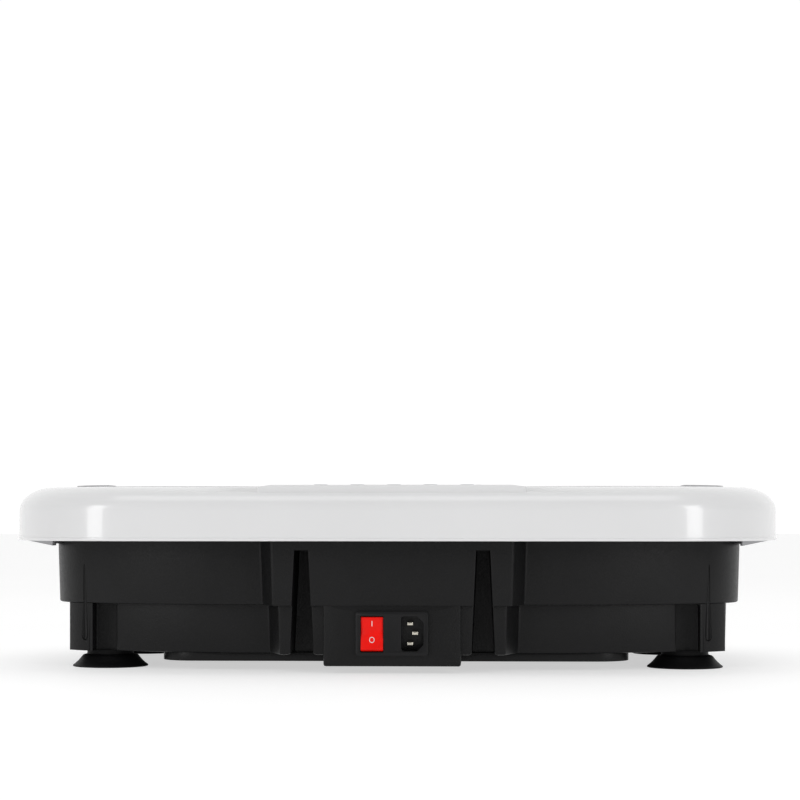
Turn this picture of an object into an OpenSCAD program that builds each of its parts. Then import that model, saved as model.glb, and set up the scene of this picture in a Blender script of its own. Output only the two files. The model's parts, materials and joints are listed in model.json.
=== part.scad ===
// Rocking vibration plate: a base on four suction feet, a motor with a belt
// and an eccentric inside it, and a rocking deck with foot mats and a console.
// Millimetres. +Z is up, +X runs along the deck, the mains inlet faces -Y and
// the origin is on the floor under the middle of the deck.

/* [Deck] */
// Length of the deck along X
deck_l = 550; // [540:1:560]
// Width of the deck along Y
deck_w = 340; // [334:1:346]
// Height of the deck's smooth top above the floor
deck_top = 130.5; // [130:0.5:133]
// Height of the deck rim's lower edge above the floor
rim_z = 92.5; // [91:0.5:94]
// Corner radius of the deck in plan
deck_corner = 95; // [85:1:105]
// Thickness of the plastic shells
wall = 3; // [2.5:0.5:3.5]

/* [Base] */
// Height of the step between the two tiers of the base
ledge_z = 47; // [45:1:50]
// Height of the underside of the lower tier
tub_z = 12.5; // [12:0.5:14]
// Height of the tub's upper edge, hidden inside the deck
tub_top = 100; // [98:1:101]
// Half width of the switch block
block_half = 48; // [44:1:50]

/* [Feet] */
// Distance of the feet from the middle along X
foot_x = 210; // [208:1:212]
// Distance of the feet on the inlet side from the middle along Y
foot_front = 70; // [66:1:72]
// Distance of the feet on the far side from the middle along Y
foot_rear = 100; // [96:1:104]
// Radius of a suction cup on the floor
cup_r = 27.5; // [25:0.5:29]

/* [Drive] */
// Height of the rocking axle
pivot_z = 78; // [76:1:80]
// Distance of the crank from the rocking axle along X
crank_x = 90; // [86:1:94]
// Height of the crank and of the motor
crank_z = 60; // [59:1:61]
// Distance between the crank and the motor shaft
belt_span = 80; // [78:1:82]
// Rocking angle each way, in degrees
rock_angle = 1; // [0.6:0.1:1.1]
// Radius of the driven pulley
big_pulley_r = 36; // [33:1:36]
// Radius of the motor pulley
small_pulley_r = 12; // [11:1:12]

/* [Controls] */
// Distance that a button travels
button_travel = 0.8; // [0.5:0.1:0.9]
// Tilt of the rocker to each side of its middle, in degrees
rocker_tilt = 9; // [7:1:10]

/* [Hidden] */

$fn = 48;
// Clearance of a running shaft, of parts that move past each other, and of a screw
run_gap = 0.05;
move_gap = 0.3;
screw_gap = 0.1;

deck_hx = deck_l / 2;
deck_hy = deck_w / 2;
// How far the rounded upper edge of the deck reaches inwards and downwards
edge_in = 25;
edge_down = 17;
deck_under = deck_top - wall;

// Base outline: lobes at the inlet side, a flat wall with round corners behind
lobe_c = [197, -48];
lobe_r = 55;
bow_r = 240;
lobe_join = -60;
block_front = 150;
block_edge = 85;
block_slope = 9;
rear_c = [196, 101];
rear_r = 35;
// The lower tier stands this far inside the upper tier
step_lobe = 10;
step_front = 8;
step_edge = 5;
step_rear = 2;

switch_front = 148;
switch_bottom = 5;

// Tapered pockets that run up both tiers: centre in X and top height
front_pocket_x = 63.5;
front_pocket_top = 86;
rear_pocket_x = 32.7;
rear_pocket_top = 85;
pocket_depth = 42;

notch_half = 8.5;
notch_front_back = -82;
notch_rear_back = 120;

pan_z = 6.4;
pan_hx = 168;
pan_y = [-112, 124];
pan_r = 24;
pan_spots = [for (x = [-150, 150], y = [-90, 96]) [x, y]];
neck_r = 17;
cup_h = 8.5;

frame_z = tub_z + wall;
plate_t = 3;
plate_top = frame_z + plate_t;
plate_hx = 194;
plate_hy = 88;
chassis_spots = [for (x = [-110, 110], y = [-76, 76]) [x, y]];

shaft_r = 8;
bush_r = 11;
block_y = [66, 82];
hanger_y = [50, 62];

rail_y = 76;
rail_w = 22;
rail_h = 18;
rail_hx = 225;
rail_z = deck_under - rail_h;
post_x = 172;
post_r = 9;
buffer_gap = post_x * sin(rock_angle) + 0.6;
post_top = 86;

journal_r = 6;
crank_bearing_r = 14;
throw = crank_x * sin(rock_angle);
sheave_r = 10;
rod_bearing_r = 16;
rod_bore_r = rod_bearing_r + 2 * throw + 0.4;
rod_eye_r = rod_bore_r + 5.5;
rod_pin_z = 97;
rod_pin_r = 4;
rod_bush_r = 6;
pulley_y = [48, 60];
motor_x = crank_x + belt_span;
motor_r = 35;
motor_y = [-58, 44];
rotor_r = 4;

// Screws of the blocks and of the motor cradle
pivot_ears = [for (x = [-24, 24], y = [-74, 74]) [x, y]];
crank_ears = [for (x = [crank_x - 24, crank_x + 24], y = [-33, 33]) [x, y]];
cradle_ears = [for (y = [-38, 24]) [motor_x - 19, y]];
block_spots = concat(pivot_ears, crank_ears, cradle_ears);

// The belt runs this far outside the pulleys, so that they turn freely in it
belt_t = 3;
belt_gap = 0.35;
belt_w = 9;
belt_side = acos((big_pulley_r - small_pulley_r) / belt_span);

pcb_z = 27;
pcb_t = 1.6;

inlet_half = 25.2;
inlet_z = [12.6, 43.5];
bezel_t = 3;
socket_x = 14.3;
socket_z = 27.9;
rocker_x = -13.9;
rocker_z = 27.6;
rocker_w = 15.5;
rocker_r = 12.3;
rocker_y = -146.5;

tray_z = [93.5, 96];
tray_gap = 3;
// Bosses around the deck that take the tray's screws
tray_spots = [for (p = [[262, 20], [224, -116], [120, -158], [110, 154], [222, 138]], sx = [-1, 1])
    [sx * p[0], p[1]]];

plateau_top = deck_top + 1;
plateau_half = 83.6;
plateau_slope = 9.1;
plateau_y = [-161.5, -96];
panel_half = 72;
panel_y = [-154, -103];
panel_t = 1;
window_half = [28, 9];
window_y = -141;
button_r = 5;
button_y = -116;
button_pitch = 26;
display_z = 118;
display_posts = [for (x = [-62, 62], y = [-148, -106]) [x, y]];

mat_c = 154;
mat_a = 90;
mat_b = 106;
mat_power = 2.6;
mat_t = 0.8;
mat_z = deck_top + mat_t;
crescent_t = 1;
nub_pitch = 15;
nub_count = 11;
nub_y = 118;

// ---- helpers ----

function arc(c, r, a0, a1, n) =
    [for (i = [0:n]) c + r * [cos(a0 + (a1 - a0) * i / n), sin(a0 + (a1 - a0) * i / n)]];

function mirrored(points) =
    concat(points, [for (i = [len(points) - 1:-1:0]) [-points[i][0], points[i][1]]]);

// Angle of the straight side between the lobe and the rear corner
function side_angle(r1, r2, d) = atan2(d[1], d[0]) - acos((r1 - r2) / norm(d));

// Right half of the base outline, from the middle of the front to the middle of the back
function base_half(front, edge, slope, bow, lobe, rear, rear_p) =
    let (bow_c = lobe_c - (bow - lobe) * [cos(lobe_join), sin(lobe_join)],
        start = -acos((edge + slope - bow_c[0]) / bow),
        side = side_angle(lobe, rear, rear_p - lobe_c))
    concat([[edge, -front]],
        arc(bow_c, bow, start, lobe_join, 12),
        arc(lobe_c, lobe, lobe_join, side, 12),
        arc(rear_p, rear, side, 90, 10));

function upper_plan(inset) =
    mirrored(base_half(block_front - inset, block_edge - inset, block_slope, bow_r - inset,
        lobe_r - inset, rear_r - inset, rear_c));

function lower_plan(inset) =
    mirrored(base_half(block_front - step_front - inset, block_edge - step_edge - inset,
        block_slope, bow_r - step_lobe - inset, lobe_r - step_lobe - inset,
        rear_r - inset, rear_c - [0, step_rear]));

function superellipse(a, b, p, n) =
    [for (i = [0:n - 1]) let (t = 360 * i / n)
        [a * sign(cos(t)) * pow(abs(cos(t)), 2 / p), b * sign(sin(t)) * pow(abs(sin(t)), 2 / p)]];

module prism(points, z0, z1) {
    translate([0, 0, z0])
        linear_extrude(z1 - z0)
            polygon(points);
}

// A polygon in X and Z, extruded along Y from y0 to y1
module along_y(points, y0, y1) {
    translate([0, y1, 0])
        rotate([90, 0, 0])
            linear_extrude(y1 - y0)
                polygon(points);
}

// A polygon in Y and Z, extruded along X from x0 to x1
module along_x(points, x0, x1) {
    translate([x0, 0, 0])
        rotate([90, 0, 90])
            linear_extrude(x1 - x0)
                polygon(points);
}

module box(x, y, z) {
    translate([x[0], y[0], z[0]])
        cube([x[1] - x[0], y[1] - y[0], z[1] - z[0]]);
}

module rod_y(x, z, y0, y1, r) {
    translate([x, y1, z])
        rotate([90, 0, 0])
            cylinder(r = r, h = y1 - y0);
}

module post(x, y, z0, z1, r) {
    translate([x, y, z0])
        cylinder(r = r, h = z1 - z0);
}

module both_sides() {
    children();
    mirror([1, 0, 0])
        children();
}

// A slab with round corners in plan and a rounded upper edge
module slab(hx, hy, corner, z0, z1, in, down) {
    // How far each point of the edge lies inside the wall, and its height
    edge = [for (i = [0:8]) [in * (1 - cos(90 * i / 8)), z1 - down + down * sin(90 * i / 8)]];
    side_x = concat([[hx, z0]], [for (p = edge) [hx - p[0], p[1]]]);
    side_y = concat([[hy, z0]], [for (p = edge) [hy - p[0], p[1]]]);
    round = concat([[0, z0], [corner, z0]], [for (p = edge) [corner - p[0], p[1]]], [[0, z1]]);
    along_y(mirrored(side_x), corner - hy, hy - corner);
    for (sy = [0, 1])
        mirror([0, sy, 0]) {
            along_x(concat([[hy - corner, z0]], side_y, [[hy - corner, z1]]),
                corner - hx, hx - corner);
            for (sx = [0, 1])
                mirror([sx, 0, 0])
                    translate([hx - corner, hy - corner, 0])
                        rotate_extrude(angle = 90, $fn = 96)
                            polygon(round);
        }
}

function unit(v) = v / norm(v);

// A smooth curve through a list of points, with k steps from each to the next
function smooth(p, k) =
    let (last = len(p) - 1)
    concat([for (i = [0:last - 1], j = [0:k - 1])
        let (t = j / k, a = p[max(i - 1, 0)], b = p[i], c = p[i + 1], d = p[min(i + 2, last)])
        b + t / 2 * (c - a) + t * t / 2 * (2 * a - 5 * b + 4 * c - d)
            + t * t * t / 2 * (3 * b - a - 3 * c + d)], [p[last]]);

// A round wire along a smooth curve; ref is a direction that the wire never takes
module wire(points, r, ref) {
    sides = 8;
    path = smooth(points, 3);
    last = len(path) - 1;
    rings = [for (i = [0:last])
        let (t = unit(path[min(i + 1, last)] - path[max(i - 1, 0)]),
            u = unit(cross(t, ref)), v = cross(t, u))
        for (j = [0:sides - 1]) path[i] + r * (cos(360 * j / sides) * u + sin(360 * j / sides) * v)];
    walls = [for (i = [0:last - 1], j = [0:sides - 1])
        let (a = i * sides + j, b = i * sides + (j + 1) % sides)
        [a, a + sides, b + sides, b]];
    polyhedron(rings, concat([[for (j = [0:sides - 1]) j]],
        walls, [[for (j = [sides - 1:-1:0]) last * sides + j]]));
}

// A screw with its head upwards; z is the height of the seat under the head
module screw(x, y, z, r, length) {
    head_r = 1.8 * r;
    head_h = 1.2 * r;
    post(x, y, z - length, z, r);
    difference() {
        post(x, y, z, z + head_h, head_r);
        translate([x, y, z + head_h / 2])
            cylinder(r = r, h = head_h, $fn = 6);
    }
}

// ---- base ----

// A pocket's outline in X and Z: narrow at the top, wide at the bottom
function pocket_shape(x, half_top, half_mid, half_low, top, grow) =
    [[x - half_low - grow, tub_z - 1], [x - half_mid - grow, ledge_z],
        [x - half_top - grow, top + grow], [x + half_top + grow, top + grow],
        [x + half_mid + grow, ledge_z], [x + half_low + grow, tub_z - 1]];

module pockets(grow) {
    both_sides() {
        along_y(pocket_shape(front_pocket_x, 4.7, 6.5, 8, front_pocket_top, grow),
            -block_front - 1, pocket_depth - block_front + grow);
        along_y(pocket_shape(rear_pocket_x, 4.5, 6.5, 8.5, rear_pocket_top, grow),
            rear_c[1] + rear_r - pocket_depth - grow, rear_c[1] + rear_r + 1);
    }
}

module notches(grow) {
    for (sx = [-1, 1]) {
        box([sx * foot_x - notch_half - grow, sx * foot_x + notch_half + grow],
            [-130, notch_front_back + grow], [tub_z - 1, ledge_z]);
        box([sx * foot_x - notch_half - grow, sx * foot_x + notch_half + grow],
            [notch_rear_back - grow, 150], [tub_z - 1, ledge_z]);
    }
}

// Solid columns at the corners, where both tiers are flush
module corner_columns() {
    both_sides() {
        intersection() {
            prism(upper_plan(0), tub_z, ledge_z);
            box([foot_x + notch_half, foot_x + 28], [-110, -60], [tub_z, ledge_z]);
        }
        intersection() {
            prism(upper_plan(0), tub_z, ledge_z);
            box([foot_x + notch_half, foot_x + 24], [84, 140], [tub_z, ledge_z]);
        }
    }
}

// Pointed grooves that run up the corner columns
module corner_grooves() {
    for (sx = [-1, 1], spot = [[226.5, -96.5], [224.5, 124.5]])
        translate([sx * spot[0], spot[1], 0]) {
            translate([0, 0, 23])
                cylinder(r1 = 3.4, r2 = 0.3, h = 52);
            translate([0, 0, 23])
                sphere(r = 3.4);
        }
}

module foot_holes() {
    for (sx = [-1, 1], y = [-foot_front, foot_rear])
        post(sx * foot_x, y, tub_z - 1, tub_z + wall + 1, 3 + screw_gap);
}

module base_tub() {
    color([0.13, 0.13, 0.14])
        difference() {
            union() {
                difference() {
                    union() {
                        prism(upper_plan(0), ledge_z, tub_top);
                        prism(lower_plan(0), tub_z, ledge_z);
                        box([-block_half, block_half], [-switch_front, -120],
                            [switch_bottom, ledge_z]);
                    }
                    prism(upper_plan(wall), ledge_z + wall, tub_top + 1);
                    prism(lower_plan(wall), frame_z, ledge_z + wall + 1);
                    box([wall - block_half, block_half - wall], [wall - switch_front, -123],
                        [switch_bottom + wall, ledge_z]);
                }
                corner_columns();
                intersection() {
                    union() {
                        pockets(wall);
                        notches(wall);
                    }
                    union() {
                        prism(upper_plan(0), ledge_z, tub_top);
                        prism(lower_plan(0), tub_z, ledge_z + 0.01);
                    }
                }
            }
            pockets(0);
            notches(0);
            corner_grooves();
            foot_holes();
            box([-23.6, 23.6], [-switch_front - 1, -117], [14.2, 41.9]);
            for (p = chassis_spots)
                post(p[0], p[1], tub_z - 1, frame_z + 1, 3 + screw_gap);
            for (p = pan_spots)
                post(p[0], p[1], tub_z - 1, frame_z + 1, 2 + screw_gap);
        }
}

module round_plate(hx, y, r, z0, z1) {
    prism(concat(arc([hx - r, y[0] + r], r, -90, 0, 8), arc([hx - r, y[1] - r], r, 0, 90, 8),
        arc([r - hx, y[1] - r], r, 90, 180, 8), arc([r - hx, y[0] + r], r, 180, 270, 8)), z0, z1);
}

module bottom_pan() {
    color([0.16, 0.16, 0.17])
        difference() {
            union() {
                difference() {
                    round_plate(pan_hx, pan_y, pan_r, pan_z, tub_z);
                    round_plate(pan_hx - wall, pan_y + [wall, -wall], pan_r - wall,
                        pan_z + 2.5, tub_z + 1);
                }
                for (p = pan_spots)
                    post(p[0], p[1], pan_z + 1, tub_z, 6);
                for (x = [-80, 0, 80])
                    box([x - 1.5, x + 1.5], [pan_y[0] + 1, pan_y[1] - 1], [pan_z + 1, tub_z - 1]);
            }
            box([-block_half - move_gap, block_half + move_gap], [-130, -119.5],
                [pan_z - 1, tub_z + 1]);
            for (p = pan_spots) {
                post(p[0], p[1], pan_z - 1, tub_z + 1, 2 + screw_gap);
                post(p[0], p[1], pan_z - 1, pan_z + 2, 4);
            }
        }
}

module suction_foot(x, y) {
    color([0.10, 0.10, 0.11])
        translate([x, y, 0])
            rotate_extrude()
                polygon([[3.2, 8], [6.4, 8], [6.4, 4.6], [12, 4.6], [24.6, 0], [cup_r, 0],
                    [cup_r, 0.9], [19.5, cup_h], [neck_r, cup_h + 0.6], [neck_r, tub_z],
                    [3.2, tub_z]]);
}

module suction_foot_front_left() suction_foot(-foot_x, -foot_front);
module suction_foot_front_right() suction_foot(foot_x, -foot_front);
module suction_foot_rear_left() suction_foot(-foot_x, foot_rear);
module suction_foot_rear_right() suction_foot(foot_x, foot_rear);

module foot_bolts() {
    color([0.72, 0.73, 0.75])
        for (sx = [-1, 1], y = [-foot_front, foot_rear]) {
            post(sx * foot_x, y, 5, 8, 6);
            post(sx * foot_x, y, 8, 23, 3);
        }
}

module foot_nuts() {
    color([0.72, 0.73, 0.75])
        for (sx = [-1, 1], y = [-foot_front, foot_rear])
            difference() {
                union() {
                    translate([sx * foot_x, y, frame_z + 1.2])
                        cylinder(r = 5.77, h = 5, $fn = 6);
                    post(sx * foot_x, y, frame_z, frame_z + 1.2, 7);
                }
                post(sx * foot_x, y, frame_z - 1, frame_z + 8, 3 + screw_gap);
            }
}

// ---- chassis ----

module base_frame() {
    color([0.45, 0.47, 0.50])
        difference() {
            union() {
                prism([[-plate_hx, 12 - plate_hy], [12 - plate_hx, -plate_hy],
                    [plate_hx - 12, -plate_hy], [plate_hx, 12 - plate_hy],
                    [plate_hx, plate_hy - 12], [plate_hx - 12, plate_hy],
                    [12 - plate_hx, plate_hy], [-plate_hx, plate_hy - 12]], frame_z, plate_top);
                for (sy = [-1, 1])
                    box([14 - plate_hx, plate_hx - 14],
                        [sy * (plate_hy - 1.25) - 1.25, sy * (plate_hy - 1.25) + 1.25],
                        [frame_z, plate_top + 11]);
            }
            for (p = chassis_spots)
                post(p[0], p[1], frame_z - 1, plate_top + 1, 3 + screw_gap);
            for (p = block_spots)
                post(p[0], p[1], frame_z - 1, plate_top + 1, 2.5 + screw_gap);
        }
}

module chassis_screws() {
    color([0.72, 0.73, 0.75]) {
        for (p = chassis_spots)
            screw(p[0], p[1], plate_top, 3, 5.8);
        for (p = pan_spots) {
            post(p[0], p[1], pan_z + 0.2, pan_z + 2, 3.6);
            post(p[0], p[1], pan_z + 2, frame_z + 1.5, 2);
        }
    }
}

module pedestal(x, y0, y1, z, boss_r, bore_r, ear) {
    difference() {
        union() {
            box([x - ear - 7, x + ear + 7], [y0, y1], [plate_top, plate_top + 7]);
            along_y([[x - ear + 8, plate_top + 7], [x - boss_r, z], [x + boss_r, z],
                [x + ear - 8, plate_top + 7]], y0, y1);
            rod_y(x, z, y0, y1, boss_r);
        }
        rod_y(x, z, y0 - 1, y1 + 1, bore_r);
        for (sx = [-1, 1])
            post(x + sx * ear, (y0 + y1) / 2, plate_top - 1, plate_top + 8, 2.5 + screw_gap);
    }
}

module pivot_block_front() {
    color([0.38, 0.40, 0.42])
        pedestal(0, -block_y[1], -block_y[0], pivot_z, 15, shaft_r + run_gap, 24);
}

module pivot_block_rear() {
    color([0.38, 0.40, 0.42])
        pedestal(0, block_y[0], block_y[1], pivot_z, 15, shaft_r + run_gap, 24);
}

module pivot_shaft() {
    color([0.75, 0.76, 0.78])
        rod_y(0, pivot_z, -86, 86, shaft_r);
}

module crank_block_front() {
    color([0.38, 0.40, 0.42])
        pedestal(crank_x, -40, -26, crank_z, 20, crank_bearing_r + run_gap, 24);
}

module crank_block_rear() {
    color([0.38, 0.40, 0.42])
        pedestal(crank_x, 26, 40, crank_z, 20, crank_bearing_r + run_gap, 24);
}

module crank_bearing(y) {
    color([0.70, 0.71, 0.73])
        translate([crank_x, y, crank_z])
            rotate([90, 0, 0])
                rotate_extrude()
                    polygon([[journal_r + run_gap, -4], [9, -4], [9, -3.4], [11, -3.4], [11, -4],
                        [crank_bearing_r, -4], [crank_bearing_r, 4], [11, 4], [11, 3.4],
                        [9, 3.4], [9, 4], [journal_r + run_gap, 4]]);
}

module crank_bearing_front() crank_bearing(-33);
module crank_bearing_rear() crank_bearing(33);

module block_screws() {
    color([0.72, 0.73, 0.75]) {
        for (p = pivot_ears)
            screw(p[0], p[1], plate_top + 7, 2.5, 9.8);
        for (p = crank_ears)
            screw(p[0], p[1], plate_top + 7, 2.5, 9.8);
        for (p = cradle_ears)
            screw(p[0], p[1], plate_top + 5, 2.5, 7.8);
    }
}

module motor_body() {
    color([0.30, 0.32, 0.35])
        difference() {
            union() {
                rod_y(motor_x, crank_z, motor_y[0], motor_y[1], motor_r - 2);
                rod_y(motor_x, crank_z, motor_y[0] + 14, motor_y[1] - 14, motor_r);
                rod_y(motor_x, crank_z, motor_y[0] - 4, motor_y[0], 12);
                rod_y(motor_x, crank_z, motor_y[1], motor_y[1] + 2, 12);
            }
            rod_y(motor_x, crank_z, motor_y[0] + 8, motor_y[1] - 8, 25);
            rod_y(motor_x, crank_z, motor_y[0] + 2, motor_y[1] + 4, rotor_r + run_gap);
            for (a = [0:45:315])
                translate([motor_x, 0, crank_z])
                    rotate([0, a, 0])
                        box([14, 22], [motor_y[1] - 9, motor_y[1] + 1], [-2, 2]);
        }
}

module motor_cradle() {
    color([0.45, 0.47, 0.50])
        difference() {
            union() {
                box([motor_x - 25, motor_x + 24], [-46, 32], [plate_top, plate_top + 5]);
                for (y = [-30, 14])
                    box([motor_x - 24, motor_x + 24], [y - 3, y + 3], [plate_top + 5, 46]);
            }
            rod_y(motor_x, crank_z, -60, 60, motor_r + 0.02);
            for (p = cradle_ears)
                post(p[0], p[1], plate_top - 1, plate_top + 6, 2.5 + screw_gap);
        }
}

// The belt's outline: an arc round each pulley and two straight runs
function belt_loop(r) =
    concat(arc([crank_x, crank_z], big_pulley_r + r, belt_side, 360 - belt_side, 28),
        arc([motor_x, crank_z], small_pulley_r + r, -belt_side, belt_side, 14));

module drive_belt() {
    y = (pulley_y[0] + pulley_y[1]) / 2;
    color([0.12, 0.12, 0.12])
        difference() {
            along_y(belt_loop(belt_gap + belt_t), y - belt_w / 2, y + belt_w / 2);
            along_y(belt_loop(belt_gap), y - belt_w / 2 - 1, y + belt_w / 2 + 1);
        }
}

module buffer_posts() {
    color([0.45, 0.47, 0.50])
        for (x = [-post_x, post_x], y = [-rail_y, rail_y]) {
            post(x, y, plate_top, plate_top + 4, post_r);
            post(x, y, plate_top + 4, post_top, 6);
            post(x, y, post_top - 3, post_top, post_r);
        }
}

module rubber_buffers() {
    color([0.12, 0.12, 0.12])
        for (x = [-post_x, post_x], y = [-rail_y, rail_y])
            translate([x, y, post_top])
                rotate_extrude()
                    polygon([[0, 0], [post_r, 0], [post_r, 6], [7.4, 9], [post_r, 12],
                        [post_r, rail_z - buffer_gap - post_top - 1.5],
                        [post_r - 1.5, rail_z - buffer_gap - post_top],
                        [0, rail_z - buffer_gap - post_top]]);
}

module power_board() {
    color([0.10, 0.35, 0.18])
        union() {
            box([-186, -100], [-40, 50], [pcb_z, pcb_z + pcb_t]);
            for (x = [-180, -106], y = [-34, 44])
                post(x, y, plate_top, pcb_z, 3.5);
            for (i = [0:5])
                box([-184 + 5 * i, -181.5 + 5 * i], [4, 44], [pcb_z + pcb_t, pcb_z + 24]);
            box([-184, -156.5], [4, 44], [pcb_z + pcb_t, pcb_z + 5]);
            for (p = [[-112, 34, 8], [-130, 34, 8], [-112, 16, 6]])
                post(p[0], p[1], pcb_z + pcb_t, pcb_z + 26, p[2]);
            box([-130, -106], [-38, -28], [pcb_z + pcb_t, pcb_z + 12]);
            box([-152, -136], [10, 20], [pcb_z + pcb_t, pcb_z + 10]);
        }
}

module transformer() {
    color([0.55, 0.42, 0.20])
        union() {
            box([-182, -142], [-36, -4], [pcb_z + pcb_t, pcb_z + 34]);
            box([-178, -146], [-39, -1], [pcb_z + pcb_t + 8, pcb_z + 26]);
        }
}

// ---- inlet and switch ----

module inlet_housing() {
    bezel_y = -switch_front - bezel_t;
    color([0.08, 0.08, 0.09])
        difference() {
            union() {
                along_y(concat(arc([inlet_half - 2, inlet_z[0] + 2], 2, -90, 0, 4),
                    arc([inlet_half - 2, inlet_z[1] - 2], 2, 0, 90, 4),
                    arc([2 - inlet_half, inlet_z[1] - 2], 2, 90, 180, 4),
                    arc([2 - inlet_half, inlet_z[0] + 2], 2, 180, 270, 4)),
                    bezel_y, -switch_front);
                box([-23.4, 23.4], [-switch_front, -118], [14.4, 41.7]);
            }
            along_y(socket_shape(0), bezel_y - 1, -134);
            box([rocker_x - rocker_w / 2 - 0.25, rocker_x + rocker_w / 2 + 0.25],
                [bezel_y - 1, -133.5], [rocker_z - 12.6, rocker_z + 12.6]);
            translate([rocker_x - rocker_w / 2 - 1.3, rocker_y, rocker_z])
                rotate([0, 90, 0])
                    cylinder(r = 1.5 + run_gap, h = rocker_w + 2.6);
            for (p = pin_spots)
                box([p[0] - 2.05, p[0] + 2.05], [-135, -117], [p[1] - 1.05, p[1] + 1.05]);
        }
}

// The inlet's opening: two round corners on the left, two bevelled ones on the right
function socket_shape(grow) =
    let (hx = 7.8 + grow, hz = 12.2 + grow)
    [for (p = [[-hx + 1.5, -hz], [hx - 4.5, -hz], [hx, 4.5 - hz], [hx, hz - 4.5], [hx - 4.5, hz],
        [-hx + 1.5, hz], [-hx + 0.4, hz - 0.4], [-hx, hz - 1.5], [-hx, 1.5 - hz],
        [-hx + 0.4, 0.4 - hz]]) [socket_x + p[0], socket_z + p[1]]];

pin_spots = [[12.6, 34.8], [12.6, 20.9], [16.1, 28.2]];

module inlet_pins() {
    color([0.85, 0.84, 0.80])
        for (p = pin_spots)
            union() {
                box([p[0] - 2, p[0] + 2], [-147, -112], [p[1] - 1, p[1] + 1]);
                box([p[0] - 1.4, p[0] + 1.4], [-147.8, -147], [p[1] - 0.6, p[1] + 0.6]);
            }
}

// The rocker's outline in Y and Z about its pivot, level, with a shallow V in front
module rocker_switch() {
    front = [for (i = [-6:6]) [-3.2 - 2.1 * pow(abs(i) / 6, 1.3), 11.1 * i / 6]];
    color([0.93, 0.13, 0.09])
        translate([rocker_x, rocker_y, rocker_z])
            rotate([-rocker_tilt, 0, 0])
                union() {
                    intersection() {
                        translate([-rocker_w / 2, 0, 0])
                            rotate([0, 90, 0])
                                cylinder(r = rocker_r, h = rocker_w, $fn = 96);
                        along_x(concat(front, [[-3, 14], [7, 14], [7, -14], [-3, -14]]),
                            -rocker_w / 2, rocker_w / 2);
                    }
                    translate([-rocker_w / 2 - 1, 0, 0])
                        rotate([0, 90, 0])
                            cylinder(r = 1.5, h = rocker_w + 2);
                }
}

// ---- wires ----

module mains_leads() {
    color([0.30, 0.20, 0.12])
        for (i = [-1, 1])
            wire([[12.6, -110.4, 27.85 + 6.95 * i], [12.6, -102, 30 + 4 * i],
                [0, -99, 38 + 2.4 * i], [-80, -97, 38 + 2.4 * i], [-114, -70, 36 + 2.4 * i],
                [-121, -46, 34 + 2.4 * i], [-121, -39.6, 34 + 2.4 * i]], 1.5, [0.3, 0.2, 0.9]);
}

module motor_leads() {
    color([0.15, 0.25, 0.55])
        for (i = [-1, 1])
            wire([[motor_x - 18, -60, 40 + 2.4 * i], [motor_x - 32, -63, 33 + 2.4 * i],
                [118, -60, 26 + 2.4 * i], [70, -60, 26 + 2.4 * i], [-40, -60, 26 + 2.4 * i],
                [-90, -60, 26 + 2.4 * i], [-107, -48, 33 + 2.4 * i],
                [-110, -39.6, 33 + 2.4 * i]], 1.5, [0.1, 0.2, 0.9]);
}

module display_lead() {
    color([0.85, 0.85, 0.86])
        union() {
            wire([[-144, 15, 38.5], [-144, 15, 60], [-120, -20, 84], [-70, -60, 98], [-60, -100, 100],
                [-60, -120, 104], [-60, -124, 108]], 1.6, [0.9, 0.4, -0.2]);
            box([-65, -55], [-127, -121], [107, 112]);
            box([-149, -139], [11, 19], [37.2, 42]);
        }
}

// ---- deck ----

module button_spots() {
    for (i = [-2:2])
        translate([button_pitch * i, button_y, 0])
            children();
}

// The raised field of the console; its front face cuts into the rounded edge
module plateau() {
    foot = plateau_half + plateau_slope;
    along_y([[-foot, deck_top - 4.5], [-foot, deck_top - 0.2], [-plateau_half, plateau_top],
        [plateau_half, plateau_top], [foot, deck_top - 0.2], [foot, deck_top - 4.5]],
        plateau_y[0], plateau_y[1]);
}

module deck_cover() {
    color([0.96, 0.96, 0.96])
        difference() {
            union() {
                difference() {
                    union() {
                        slab(deck_hx, deck_hy, deck_corner, rim_z, deck_top, edge_in, edge_down);
                        plateau();
                    }
                    slab(deck_hx - wall, deck_hy - wall, deck_corner - wall, rim_z - 1,
                        deck_under, edge_in - wall, edge_down - wall);
                }
                intersection() {
                    for (p = tray_spots)
                        post(p[0], p[1], tray_z[1], deck_top, 4.5);
                    slab(deck_hx, deck_hy, deck_corner, rim_z, deck_top, edge_in, edge_down);
                }
                for (p = display_posts)
                    post(p[0], p[1], display_z + pcb_t, deck_under + 0.5, 3);
            }
            box([-panel_half, panel_half], panel_y, [plateau_top - panel_t, plateau_top + 1]);
            box([4 - window_half[0], window_half[0] - 4],
                [window_y - window_half[1] + 3, window_y + window_half[1] - 3],
                [deck_under - 1, plateau_top]);
            button_spots()
                post(0, 0, deck_under - 1, plateau_top + 1, button_r + move_gap);
            post(60, window_y, deck_under - 1, plateau_top + 1, 2.5 + run_gap);
            for (p = tray_spots)
                post(p[0], p[1], 95, 108, 1.75 + screw_gap);
        }
}

module deck_tray() {
    color([0.86, 0.86, 0.87])
        difference() {
            union() {
                difference() {
                    slab(deck_hx - wall - 0.05, deck_hy - wall - 0.05, deck_corner - wall - 0.05,
                        tray_z[0], tray_z[1], 0.5, 0.5);
                    prism(upper_plan(-tray_gap), tray_z[0] - 1, tray_z[1] + 1);
                }
                both_sides()
                    difference() {
                        along_y([[250, tray_z[0]], [deck_hx - wall - 0.6, tray_z[0]],
                            [deck_hx - wall - 0.6, tray_z[0] - 0.7], [250, 88.4]], -86, 6);
                        prism(upper_plan(-tray_gap), 80, 100);
                    }
            }
            for (p = tray_spots)
                post(p[0], p[1], 80, 100, 1.75 + screw_gap);
        }
}

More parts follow.
